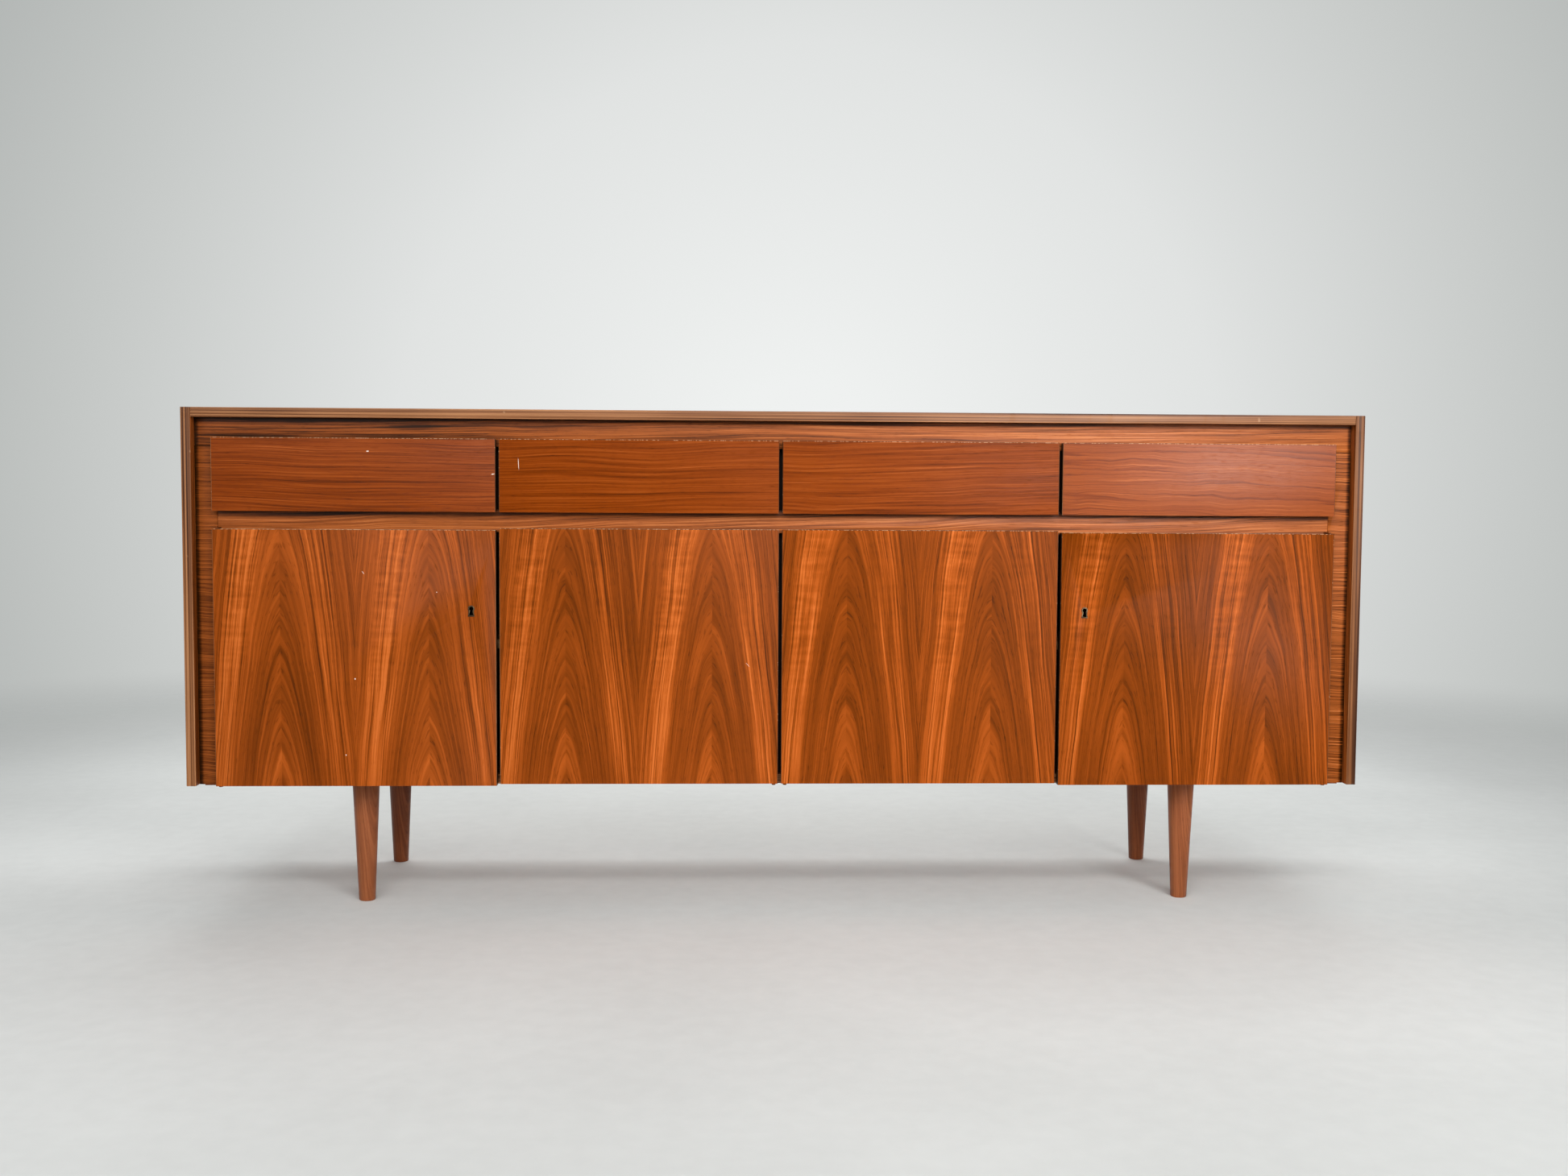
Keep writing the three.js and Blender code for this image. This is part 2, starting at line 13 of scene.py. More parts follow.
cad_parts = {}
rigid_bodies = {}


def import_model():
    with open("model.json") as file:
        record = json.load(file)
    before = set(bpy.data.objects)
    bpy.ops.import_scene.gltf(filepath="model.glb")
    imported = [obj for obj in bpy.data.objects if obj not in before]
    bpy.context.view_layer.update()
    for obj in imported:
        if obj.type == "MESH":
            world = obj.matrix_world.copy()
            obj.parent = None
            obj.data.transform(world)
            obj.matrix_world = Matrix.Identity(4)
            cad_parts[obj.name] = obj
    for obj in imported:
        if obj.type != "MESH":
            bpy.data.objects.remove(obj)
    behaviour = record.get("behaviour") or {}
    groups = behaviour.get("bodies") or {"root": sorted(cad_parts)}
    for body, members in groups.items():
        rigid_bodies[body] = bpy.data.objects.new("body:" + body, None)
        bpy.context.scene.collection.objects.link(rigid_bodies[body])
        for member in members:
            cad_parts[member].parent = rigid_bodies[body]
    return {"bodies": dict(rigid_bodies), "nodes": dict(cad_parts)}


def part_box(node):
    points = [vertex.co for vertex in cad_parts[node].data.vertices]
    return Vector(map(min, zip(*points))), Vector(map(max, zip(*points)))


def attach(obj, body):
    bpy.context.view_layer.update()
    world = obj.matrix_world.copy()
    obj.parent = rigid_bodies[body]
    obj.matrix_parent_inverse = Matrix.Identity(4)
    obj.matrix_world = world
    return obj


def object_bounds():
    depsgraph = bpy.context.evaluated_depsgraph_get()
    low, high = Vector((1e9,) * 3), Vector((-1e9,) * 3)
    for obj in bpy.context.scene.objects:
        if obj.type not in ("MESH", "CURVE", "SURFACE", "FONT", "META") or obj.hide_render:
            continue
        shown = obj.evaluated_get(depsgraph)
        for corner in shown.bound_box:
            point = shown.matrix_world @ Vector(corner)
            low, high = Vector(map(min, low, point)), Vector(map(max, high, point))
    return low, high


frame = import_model()
cad_low, cad_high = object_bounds()
nodes = frame["nodes"]

MM = 0.001
BUMP_STRENGTH = 0.6
SIDES = ("left", "right")
PLACES = ("left", "centre", "right")
FRONT_NAMES = ("outer_left", "inner_left", "inner_right", "outer_right")  # from left to right
ON_A_FACE = 0.1 * MM  # closer than this to a face counts as lying on it


# ---------------------------------------------------------------------------------------------
# Node graphs, written as formulas


class Value:
    """A number that varies over a surface. Arithmetic on it adds nodes to its graph."""

    def __init__(self, graph, socket):
        self.graph = graph
        self.socket = socket

    def __add__(self, other):
        return self.graph.math("ADD", self, other)

    def __radd__(self, other):
        return self.graph.math("ADD", other, self)

    def __sub__(self, other):
        return self.graph.math("SUBTRACT", self, other)

    def __rsub__(self, other):
        return self.graph.math("SUBTRACT", other, self)

    def __mul__(self, other):
        return self.graph.math("MULTIPLY", self, other)

    def __truediv__(self, other):
        return self.graph.math("DIVIDE", self, other)

    def __pow__(self, other):
        return self.graph.math("POWER", self, other)

    def __abs__(self):
        return self.graph.math("ABSOLUTE", self)

    def __gt__(self, other):
        return self.graph.math("GREATER_THAN", self, other)

    def __lt__(self, other):
        return self.graph.math("LESS_THAN", self, other)


class Graph:
    """One procedural material. x, y and z are the place at rest, in metres."""

    def __init__(self, name):
        self.material = bpy.data.materials.new(name)
        self.material.use_nodes = True
        self.tree = self.material.node_tree
        self.shader = self.tree.nodes["Principled BSDF"]
        place = self.tree.nodes.new("ShaderNodeTexCoord").outputs["Object"]
        split = self.tree.nodes.new("ShaderNodeSeparateXYZ")
        self.tree.links.new(place, split.inputs[0])
        self.x, self.y, self.z = (Value(self, socket) for socket in split.outputs)

    def feed(self, socket, value):
        if isinstance(value, Value):
            value = value.socket
        if isinstance(value, bpy.types.NodeSocket):
            self.tree.links.new(value, socket)
        elif socket.type == "RGBA":
            socket.default_value = (*value, 1.0)
        else:
            socket.default_value = value

    def math(self, operation, *values):
        node = self.tree.nodes.new("ShaderNodeMath")
        node.operation = operation
        for socket, value in zip(node.inputs, values):
            self.feed(socket, value)
        return Value(self, node.outputs[0])

    def noise(self, x, y, z, detail=2.0, roughness=0.5):
        """Smooth noise of about 0.5, with features one unit apart, so noise(x * 80, 0, 0) has
        them 1/80 metre apart along X."""
        point = self.tree.nodes.new("ShaderNodeCombineXYZ")
        for socket, value in zip(point.inputs, (x, y, z)):
            self.feed(socket, value)
        node = self.tree.nodes.new("ShaderNodeTexNoise")
        node.inputs["Scale"].default_value = 1.0
        node.inputs["Detail"].default_value = detail
        node.inputs["Roughness"].default_value = roughness
        self.tree.links.new(point.outputs[0], node.inputs["Vector"])
        return Value(self, node.outputs["Fac"])

    def ease(self, value, start, end):
        """Rises smoothly from 0 at start to 1 at end."""
        node = self.tree.nodes.new("ShaderNodeMapRange")
        node.interpolation_type = "SMOOTHSTEP"
        for name, part in (("Value", value), ("From Min", start), ("From Max", end)):
            self.feed(node.inputs[name], part)
        return Value(self, node.outputs["Result"])

    def either(self, *values):
        """The largest of the values, so 1 where any of several masks is."""
        result = values[0]
        for value in values[1:]:
            result = self.math("MAXIMUM", result, value)
        return result

    def ramp(self, value, stops):
        """A colour for each value, from (value, colour) stops."""
        node = self.tree.nodes.new("ShaderNodeValToRGB")
        set_stops(node.color_ramp, stops)
        self.feed(node.inputs["Fac"], value)
        return node.outputs["Color"]

    def mix(self, share, first, second):
        """The first colour, with that share of it replaced by the second."""
        node = self.tree.nodes.new("ShaderNodeMix")
        node.data_type = "RGBA"
        self.feed(node.inputs["Factor"], share)
        self.feed(node.inputs["A"], first)
        self.feed(node.inputs["B"], second)
        return node.outputs["Result"]

    def surface(self, colour, roughness, height=None, depth=0.1 * MM, gloss=0.2):
        """Joins the formulas to the shader. height is 0 to 1 and depth is what 1 stands for."""
        self.shader.inputs["Specular IOR Level"].default_value = gloss
        self.feed(self.shader.inputs["Base Color"], colour)
        self.feed(self.shader.inputs["Roughness"], roughness)
        if height is not None:
            bump = self.tree.nodes.new("ShaderNodeBump")
            bump.inputs["Distance"].default_value = depth
            bump.inputs["Strength"].default_value = BUMP_STRENGTH
            self.feed(bump.inputs["Height"], height)
            self.tree.links.new(bump.outputs["Normal"], self.shader.inputs["Normal"])
        return self.material


def set_stops(color_ramp, stops):
    while len(color_ramp.elements) < len(stops):
        color_ramp.elements.new(1.0)
    for element, (position, shade) in zip(color_ramp.elements, stops):
        element.position = position
        element.color = (*shade, 1.0)


def linear(step):
    """The light that an everyday 0 to 255 step of one colour stands for, by the sRGB rule."""
    share = step / 255
    if share <= 0.04045:
        return share / 12.92
    return ((share + 0.055) / 1.055) ** 2.4


def colour(red, green, blue):
    return (linear(red), linear(green), linear(blue))


# ---------------------------------------------------------------------------------------------
# Woods

DOOR_TONES = (
    (0.00, colour(76, 32, 0)),
    (0.25, colour(112, 49, 0)),
    (0.50, colour(143, 65, 8)),
    (0.75, colour(176, 84, 22)),
    (1.00, colour(204, 106, 42)),
)
DRAWER_TONES = (
    (0.00, colour(72, 28, 0)),
    (0.25, colour(106, 42, 0)),
    (0.50, colour(132, 56, 4)),
    (0.75, colour(150, 70, 16)),
    (1.00, colour(182, 98, 44)),
)
RAIL_TONES = (
    (0.00, colour(42, 18, 0)),
    (0.30, colour(96, 46, 12)),
    (0.55, colour(142, 72, 24)),
    (0.78, colour(172, 92, 38)),
    (1.00, colour(200, 120, 64)),
)
BAND_TONES = (
    (0.00, colour(48, 22, 6)),
    (0.30, colour(96, 54, 26)),
    (0.60, colour(136, 86, 50)),
    (1.00, colour(176, 122, 80)),
)
LEG_TONES = (
    (0.00, colour(98, 48, 22)),
    (0.45, colour(138, 76, 42)),
    (1.00, colour(176, 106, 66)),
)
INNER_TONES = (
    (0.00, colour(150, 108, 66)),
    (0.50, colour(190, 148, 100)),
    (1.00, colour(216, 178, 130)),
)
BARE_AND_LIT_EDGE = colour(208, 168, 128)
CHIPPED = colour(240, 224, 204)
DARK_JOINT_AND_SHADE = colour(34, 18, 8)
PAINTED_SIDE_SHADE = colour(56, 32, 17)
BAND_THICKNESS = 0.8 * MM
FACE_DEPTH = 1 * MM  # how far behind a front's face its veneer and band reach


def growth_lines(graph, ring, along, seed, strength=1.0):
    """How the growth rings lighten and darken the wood. ring is metres across them."""
    broad = graph.noise(ring * 80, along * 1.5, seed, detail=1) - 0.5
    medium = graph.noise(ring * 310, along * 2.5, seed + 3.7, detail=1) - 0.5
    fine = graph.noise(ring * 780, along * 7, seed + 7.1, detail=1) - 0.5
    return (broad * 0.4 + medium * 0.95 + fine * 1.1) * strength


def pores(graph, across, along, seed):
    """1 in the short open pores that lie along the grain."""
    streaks = graph.noise(across * 1400, along * 60, seed, detail=1)
    return graph.ease(streaks, 0.60, 0.70)


def lacquered(graph, tone, tones, pore, base_roughness=0.42):
    """The colour, gloss and relief of satin-lacquered veneer."""
    shade = graph.ramp(tone - pore * 0.16, tones)
    cloud = graph.noise(graph.x * 14, graph.y * 14, graph.z * 14, detail=3) - 0.5
    roughness = base_roughness + cloud * 0.12 + pore * 0.1
    return shade, roughness, 1 - pore


def edge_band(graph, lengthwise, crosswise, seed, base=0.54):
    """The striped strip glued to a panel's edge."""
    stripes = graph.noise(crosswise * 380, lengthwise * 1.1, seed, detail=2)
    drift = graph.noise(crosswise * 40, lengthwise * 5, seed + 2.3, detail=2) - 0.5
    tone = base + (stripes - 0.5) * 2.6 + drift * 0.5
    return graph.ramp(tone, BAND_TONES)


def near_faces(graph, coordinate, low, high, distance):
    """1 within a distance of either end of a span."""
    middle = (low + high) / 2
    return abs(coordinate - middle) > (high - low) / 2 - distance


def mark_mask(graph, low, high, across, up, width, length, lean=0.0):
    """1 in a small chip or scratch, placed as shares of the front and sized in millimetres."""
    dx = graph.x - (low.x + across * (high.x - low.x))
    dz = graph.z - (low.z + up * (high.z - low.z))
    sideways = (dx - dz * lean) / (width * MM / 2)
    lengthways = dz / (length * MM / 2)
    ragged = graph.noise(graph.x * 900, 0.0, graph.z * 900, detail=1)
    return graph.ease(sideways * sideways + lengthways * lengthways + ragged, 1.7, 1.0)


def front_material(name, node, tone_of, tones, marks=(), gloss=0.2):
    """A door or drawer front: a figured face with a striped band round it, a plain inside face,
    sides and holes painted dark as shade, and the chips and scratches that years of use left."""
    graph = Graph(name)
    low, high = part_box(node)
    tone, pore = tone_of(graph, low, high)
    face, roughness, height = lacquered(graph, tone, tones, pore)

    inside = graph.y > low.y + (high.y - low.y) * 0.6
    plain = graph.noise(graph.x * 140, graph.z * 2.5, 5.5, detail=2)
    face = graph.mix(inside, face, graph.ramp(0.5 + (plain - 0.5) * 1.1, RAIL_TONES))

    top_band = graph.z > high.z - BAND_THICKNESS
    ends = graph.either(top_band, graph.z < low.z + ON_A_FACE)
    rim = graph.either(ends, near_faces(graph, graph.x, low.x, high.x, BAND_THICKNESS))
    face = graph.mix(rim, face, edge_band(graph, graph.x + graph.z, graph.y, 1.5))
    rubbed = graph.noise(graph.x * 260, graph.y * 260, graph.z * 260, detail=2)
    outside = graph.y < low.y + FACE_DEPTH
    # Bare wood rubbed through at random along the rim is real wear; the extra paleness along the top
    # arris of the face is a painted highlight.
    wear_and_highlight = graph.ease(rubbed + top_band * outside * 0.14, 0.64, 0.70)
    face = graph.mix(rim * wear_and_highlight * 0.7, face, BARE_AND_LIT_EDGE)
    # The sides and holes are painted dark, as painted shade in the gaps and the keyholes.
    sides_and_holes = (1 - outside) * (graph.y < high.y - 2 * ON_A_FACE) * (1 - ends)
    face = graph.mix(sides_and_holes, face, PAINTED_SIDE_SHADE)
    for mark in marks:
        face = graph.mix(mark_mask(graph, low, high, *mark) * outside, face, CHIPPED)
    return graph.surface(face, roughness, height, gloss=gloss)


# Each door face is four leaves of one flitch, opened like a book about two upright axes.
LEAF_SHARE = 0.263  # width of a leaf, as a share of the door's
FIRST_AXIS_SHARE = 0.235
LEAF_SLIP = 35 * MM  # how much higher the last leaf was laid
ARCH_DEPTH = 59 * MM  # from the heart of the tree to the leaf, at the foot of a door
ARCH_TAPER = 0.05  # how much of that the log gains for each metre up
ARCH_BLUNTNESS = 8 * MM

# Where each kind of wood gives way to the next, in metres from the heart of the tree.
HEART_TO_FLAME = (0.060, 0.064)
FLAME_TO_PLAIN = (0.066, 0.073)
PLAIN_TO_STRIPES = (0.102, 0.114)
STRIPES_TO_PLAIN = (0.132, 0.147)
PLAIN_TO_MARGIN = (0.135, 0.151)


def door_figure(slice_number, base):
    """The nested arches and flaring stripes of one door. slice_number moves it through the flitch
    and base is how pale it is."""

    def tone_of(graph, low, high):
        width = high.x - low.x
        leaf = width * LEAF_SHARE
        across = graph.x - (low.x + width * FIRST_AXIS_SHARE)
        up = graph.z - low.z
        from_axis = graph.math("WRAP", across, leaf, -leaf)
        left_leaf = from_axis < 0.0
        reach = abs(from_axis)
        pair = graph.math("FLOOR", (across + leaf) / (2 * leaf))
        up = up + (1 - left_leaf) * pair * LEAF_SLIP
        depth = graph.math("FLOOR", across / leaf) * 0.16 + slice_number * 0.7

        drift = graph.noise(reach * 10, up * 5, depth, detail=2) - 0.5
        arch = ((reach + ARCH_BLUNTNESS) ** 2 + (up * ARCH_TAPER + ARCH_DEPTH) ** 2) ** 0.5
        ring = arch + up * ARCH_TAPER + drift * 8 * MM

        heart = 1 - graph.ease(ring, *HEART_TO_FLAME)
        flame = (1 - graph.ease(ring, *FLAME_TO_PLAIN)) * (1 - heart)
        stripes = graph.ease(ring, *PLAIN_TO_STRIPES) * (1 - graph.ease(ring, *STRIPES_TO_PLAIN))
        margin = graph.ease(ring, *PLAIN_TO_MARGIN)
        ripple = graph.noise(reach * 22, up * 95, depth, detail=1) - 0.5
        # The ripple in the stripes is painted sheen, stronger on the leaves left of their axis.
        painted_sheen = ripple * stripes * (0.12 + left_leaf * 0.38) * graph.ease(up, 0.08, 0.30)
        cloud = graph.noise(graph.x * 6, graph.z * 6, slice_number + 0.5, detail=2) - 0.5
        arcs = graph.ease(graph.noise(ring * 300, up * 1.5, depth + 9.3, detail=1), 0.60, 0.66)
        veins = graph.ease(graph.noise(ring * 420, up * 1.0, depth + 4.4, detail=1), 0.54, 0.62)

        # Leaves left of their axis are painted lighter, most in their stripes, as a painted highlight
        # where book-matched leaves catch the light.
        tone = base + stripes * (0.19 + left_leaf * 0.13) + flame * 0.22 + left_leaf * 0.07
        tone = tone + arcs * (1 - stripes) * 0.13 - veins * (0.12 + stripes * 0.16)
        tone = tone + painted_sheen + cloud * 0.2
        contrast = 0.42 + stripes * 0.44 + margin * 0.15
        tone = tone + growth_lines(graph, ring, up, depth) * contrast
        return tone, pores(graph, ring, up, depth)

    return tone_of


def long_figure(along, across, heart, depth, taper, seed, base=0.48, strength=1.0, wander=0.03,
                waves=0.0, lift=0.0, veins=0.05, smoke=None):
    """Grain running along one axis, with the heart of the arches that far across the other.
    wander and waves are how far the lines drift and ripple, lift is how much paler the wood gets
    towards the far end, veins is how dark the few thin lines are, and smoke is where a dark streak
    is strongest and how far it spreads."""

    def tone_of(graph, low, high):
        run = getattr(graph, along) - getattr(low, along)
        rise = getattr(graph, across) - getattr(low, across)
        length = getattr(high, along) - getattr(low, along)
        sway = graph.noise(run * 2.4, rise * 6, seed, detail=2) - 0.5
        wave = graph.noise(run * 15, rise * 12, seed + 5.2, detail=2) - 0.5
        arch = ((rise - heart) ** 2 + depth**2) ** 0.5
        ring = arch + run * taper + sway * wander + wave * waves
        cloud = graph.noise(graph.x * 4, graph.y * 4, graph.z * 4 + seed, detail=2) - 0.5
        tone = base + growth_lines(graph, ring, run, seed, strength) + cloud * 0.2 + run / length * lift
        contour = abs(graph.noise(ring * 60, run * 1.2, seed + 8.8, detail=2) - 0.5)
        tone = tone - (1 - graph.ease(contour, 0.008, 0.03)) * veins
        if smoke:
            middle, spread = smoke
            streaks = graph.ease(graph.noise(ring * 150, run * 5, seed + 1.9, detail=3), 0.48, 0.72)
            tone = tone - streaks * (1 - graph.ease(abs(run - middle), spread * 0.4, spread)) * 0.45
        return tone, pores(graph, rise, run, seed)

    return tone_of


def panel_material(name, node, tone_of, band_along, band_base=0.54, gloss=0.2):
    """A case panel: lacquered veneer with a striped band along its front edge."""
    graph = Graph(name)
    low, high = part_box(node)
    tone, pore = tone_of(graph, low, high)
    face, roughness, height = lacquered(graph, tone, RAIL_TONES, pore)
    lengthwise = getattr(graph, band_along)
    crosswise = graph.x if band_along == "z" else graph.z
    band = graph.y < low.y + BAND_THICKNESS
    edges = graph.either(band, graph.y > high.y - 3 * ON_A_FACE)
    face = graph.mix(edges, face, edge_band(graph, lengthwise, crosswise, len(name), band_base))
    nicks = graph.noise(graph.x * 45, graph.y * 45, graph.z * 45, detail=2)
    face = graph.mix(band * graph.ease(nicks, 0.74, 0.79) * 0.4, face, BARE_AND_LIT_EDGE)
    return graph.surface(face, roughness, height, gloss=gloss)


def board_material(name, node, tone_of, corner, gloss=0.2):
    """Veneer with no band in sight, such as a rail or a stile. Painted shade darkens it where
    corner, a distance across the board, comes down to nothing: in the recesses beside the side
    panels and under the top and the drawers. Where corner is a joint, as at the top of a stile,
    the same darkening is a dark joint line."""
    graph = Graph(name)
    low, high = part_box(node)
    tone, pore = tone_of(graph, low, high)
    # Painted shade in the recesses, and a dark joint line where corner is a joint.
    painted_shade = 1 - graph.ease(corner(graph), 2 * MM, 9 * MM)
    return graph.surface(*lacquered(graph, tone - painted_shade * 0.5, RAIL_TONES, pore), gloss=gloss)


def leg_material(name, node, base):
    """Solid wood turned on a lathe, so the growth rings cut through it as stripes and loops. The
    heart of the tree lies to the left of the leg and behind it."""
    graph = Graph(name)
    low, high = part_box(node)
    centre = (low + high) / 2
    dx = graph.x - (centre.x - 50 * MM)
    dy = graph.y - (centre.y + 30 * MM)
    sway = graph.noise(graph.x * 8, graph.y * 8, graph.z * 4, detail=2) - 0.5
    ring = (dx * dx + dy * dy) ** 0.5 + graph.z * 0.03 + sway * 0.01
    cloud = graph.noise(graph.x * 20, graph.y * 20, graph.z * 9, detail=2) - 0.5
    tone = base + growth_lines(graph, ring, graph.z, centre.x) * 0.8 + cloud * 0.3
    pore = pores(graph, ring, graph.z, centre.y)
    return graph.surface(*lacquered(graph, tone, LEG_TONES, pore, 0.36))


def inner_material(name, along, across, front=None):
    """Unlacquered light wood for the parts inside, painted dark in front of front as shade in the gaps
    between the fronts.
    """
    graph = Graph(name)
    run = getattr(graph, along)
    rise = getattr(graph, across)
    sway = graph.noise(run * 3, rise * 5, 2.0, detail=2) - 0.5
    tone = 0.5 + growth_lines(graph, rise + sway * 0.02, run, 4.0) * 1.2
    shade = graph.ramp(tone, INNER_TONES)
    if front is not None:
        # Painted shade on the front edges that show through the gaps.
        shade = graph.mix(graph.y < front, shade, DARK_JOINT_AND_SHADE)
    return graph.surface(shade, 0.6 + sway * 0.1, tone)


TAIL_PITCH = 24 * MM
TAIL_HALF = TAIL_PITCH * 0.36  # half width of a dovetail at the end of the board
TAIL_SLANT = 0.16
JOINT_LINE = 0.2 * MM
BOX_WALL = 12 * MM


def drawer_box_material(name, node):
    """Light wood whose sides show the dovetails that hold them to the front and the back."""
    graph = Graph(name)
    low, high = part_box(node)
    sway = graph.noise(graph.y * 3, graph.z * 5, low.x, detail=2) - 0.5
    tone = 0.5 + growth_lines(graph, graph.z + sway * 0.02, graph.y, low.x) * 1.2

    outer_face = near_faces(graph, graph.x, low.x, high.x, ON_A_FACE)
    from_end = graph.math("MINIMUM", graph.y - low.y, high.y - graph.y)
    from_tail = graph.math("PINGPONG", graph.z - low.z, TAIL_PITCH / 2)
    in_joint = from_end < BOX_WALL
    across_tail = from_tail + from_end * TAIL_SLANT
    pin = in_joint * (across_tail > TAIL_HALF) * outer_face
    rings = graph.noise(graph.y * 700, graph.z * 90, low.x, detail=2) - 0.5
    tone = tone - pin * 0.34 + pin * rings * 0.5
    seam = abs(across_tail - TAIL_HALF) < JOINT_LINE
    shoulder = abs(from_end - BOX_WALL) < JOINT_LINE
    line = graph.either(seam * in_joint, shoulder) * outer_face
    shade = graph.mix(line * 0.7, graph.ramp(tone, INNER_TONES), DARK_JOINT_AND_SHADE)
    return graph.surface(shade, 0.58 + sway * 0.1, tone)


PIN_SPACING = 120 * MM
PIN_INSET = 8 * MM
PIN_RADIUS = 2 * MM


def row_of_pins(graph, along, across, first, last):
    """1 in the pin heads spaced along two lines, which lie at first and last across the board."""
    middle = (first + last) / 2
    from_line = abs(abs(across - middle) - (last - first) / 2)
    from_pin = graph.math("PINGPONG", along, PIN_SPACING / 2)
    return (from_line * from_line + from_pin * from_pin) ** 0.5 < PIN_RADIUS


def hardboard_material(name, node):
    """Brown hardboard with a row of flush panel pins along each edge."""
    graph = Graph(name)
    low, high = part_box(node)
    fibres = graph.noise(graph.x * 260, graph.y * 260, graph.z * 260, detail=3, roughness=0.7)
    clouds = graph.noise(graph.x * 6, graph.y * 6, graph.z * 6, detail=3)
    tone = fibres * 0.8 + clouds * 0.2
    stops = ((0.3, colour(96, 68, 44)), (0.5, colour(128, 92, 62)), (0.7, colour(150, 112, 80)))
    board = graph.ramp(tone, stops)

    across = row_of_pins(graph, graph.x, graph.z, low.z + PIN_INSET, high.z - PIN_INSET)
    upright = row_of_pins(graph, graph.z, graph.x, low.x + PIN_INSET, high.x - PIN_INSET)
    pins = graph.either(across, upright) * (graph.y > high.y - 1 * MM)
    graph.feed(graph.shader.inputs["Metallic"], pins)
    face = graph.mix(pins, board, colour(92, 88, 84))
    return graph.surface(face, 0.62 + (clouds - 0.5) * 0.2, fibres * (1 - pins))


# ---------------------------------------------------------------------------------------------
# Metals

PAINTED_KEYHOLE_SHADE = colour(14, 11, 9)


def metal_material(name, dark, light, roughness, painted_shade=None):
    """Brushed, slightly tarnished metal, painted black as shade between two distances along Y."""
    graph = Graph(name)
    brushed = graph.noise(graph.x * 90, graph.y * 2600, graph.z * 2600, detail=2)
    patina = graph.noise(graph.x * 130, graph.y * 130, graph.z * 130, detail=3)
    stops = ((0.3, dark), (0.7, light))
    shade = graph.ramp(patina * 0.7 + brushed * 0.3, stops)
    graph.shader.inputs["Metallic"].default_value = 1.0
    if painted_shade:
        start, end = painted_shade
        shade = graph.mix((graph.y > start) * (graph.y < end), shade, PAINTED_KEYHOLE_SHADE)
    return graph.surface(shade, roughness + (patina - 0.5) * 0.3, brushed, 0.03 * MM, gloss=0.5)


def painted_material(name, dark, light):
    """Metal painted to match the wood, slightly uneven from the brush."""
    graph = Graph(name)
    brush = graph.noise(graph.x * 70, graph.y * 400, graph.z * 400, detail=2)
    wear = graph.noise(graph.x * 160, graph.y * 160, graph.z * 160, detail=3)
    shade = graph.ramp(brush * 0.4 + wear * 0.6, ((0.35, dark), (0.65, light)))
    return graph.surface(shade, 0.5 + (wear - 0.5) * 0.3, brush, 0.02 * MM)


# ---------------------------------------------------------------------------------------------
# Dressing the CAD nodes


def dress(node, material, bevel=0.5 * MM):
    """Gives a CAD node its material, and eases its arrises so that they catch the light."""
    piece = nodes[node]
    piece.data.materials.clear()
    piece.data.materials.append(material)
    weld = piece.modifiers.new("weld", "WELD")
    weld.merge_threshold = 0.002 * MM
    flatten = piece.modifiers.new("whole_faces", "DECIMATE")
    flatten.decimate_type = "DISSOLVE"
    flatten.angle_limit = math.radians(1)
    ease = piece.modifiers.new("eased_arris", "BEVEL")
    ease.width = bevel
    ease.segments = 2
    ease.limit_method = "ANGLE"
    ease.angle_limit = math.radians(40)
    ease.harden_normals = True
    for polygon in piece.data.polygons:
        polygon.use_smooth = True
    return piece


# Chips and scratches: share across, share up, width and length in millimetres, and lean.
DOOR_MARKS = {
    "outer_left": (
        (0.498, 0.42, 2.0, 2.8, 0.0),
        (0.463, 0.122, 1.9, 2.6, 0.0),
        (0.79, 0.758, 1.4, 1.8, 0.0),
        (0.53, 0.833, 1.0, 5.0, -0.7),
    ),
    "inner_left": ((0.89, 0.47, 0.7, 7.0, -0.9),),
}
DRAWER_MARKS = {
    "outer_left": ((0.992, 0.52, 5.0, 1.8, 1.5), (0.55, 0.82, 4.4, 2.0, 0.0)),
    "inner_left": ((0.07, 0.66, 0.9, 20.0, -0.06),),
}
DRAWER_FIGURES = {
    "outer_left": dict(heart=-0.10, depth=0.05, taper=0.012, seed=1.3, base=0.49, strength=0.8),
    "inner_left": dict(heart=0.16, depth=0.03, taper=0.02, seed=6.1, base=0.46, strength=0.7, lift=0.06),
    "inner_right": dict(heart=-0.05, depth=0.08, taper=-0.01, seed=9.4, base=0.50, strength=0.8),
    "outer_right": dict(
        heart=0.30, depth=0.05, taper=-0.03, seed=12.2, base=0.69, waves=0.012, strength=0.5, veins=0.26,
    ),
}
DRAWER_GLOSS = {"outer_left": 0.12, "inner_left": 0.05, "inner_right": 0.10, "outer_right": 0.36}
DOOR_GLOSS = 0.08


def dress_fronts():
    for number, name in enumerate(FRONT_NAMES):
        door = f"{name}_door"
        figure = door_figure(number, 0.43 - 0.03 * number)
        marks = DOOR_MARKS.get(name, ())
        dress(door, front_material(f"{door}_veneer", door, figure, DOOR_TONES, marks, DOOR_GLOSS))

        drawer = f"{name}_drawer_front"
        figure = long_figure("x", "z", **DRAWER_FIGURES[name])
        marks = DRAWER_MARKS.get(name, ())
        gloss = DRAWER_GLOSS[name]
        dress(drawer, front_material(f"{drawer}_veneer", drawer, figure, DRAWER_TONES, marks, gloss))


PANEL_BEVEL = 0.7 * MM


def dress_top_and_bottom():
    top = long_figure("x", "y", 0.20, 0.04, 0.02, 3.1, base=0.52)
    top_veneer = panel_material("top_veneer", "top_panel", top, "x", 0.56, gloss=0.3)
    dress("top_panel", top_veneer, PANEL_BEVEL)
    bottom = long_figure("x", "y", 0.15, 0.05, 0.02, 8.2, base=0.40)
    dress("bottom_panel", panel_material("bottom_veneer", "bottom_panel", bottom, "x"), PANEL_BEVEL)


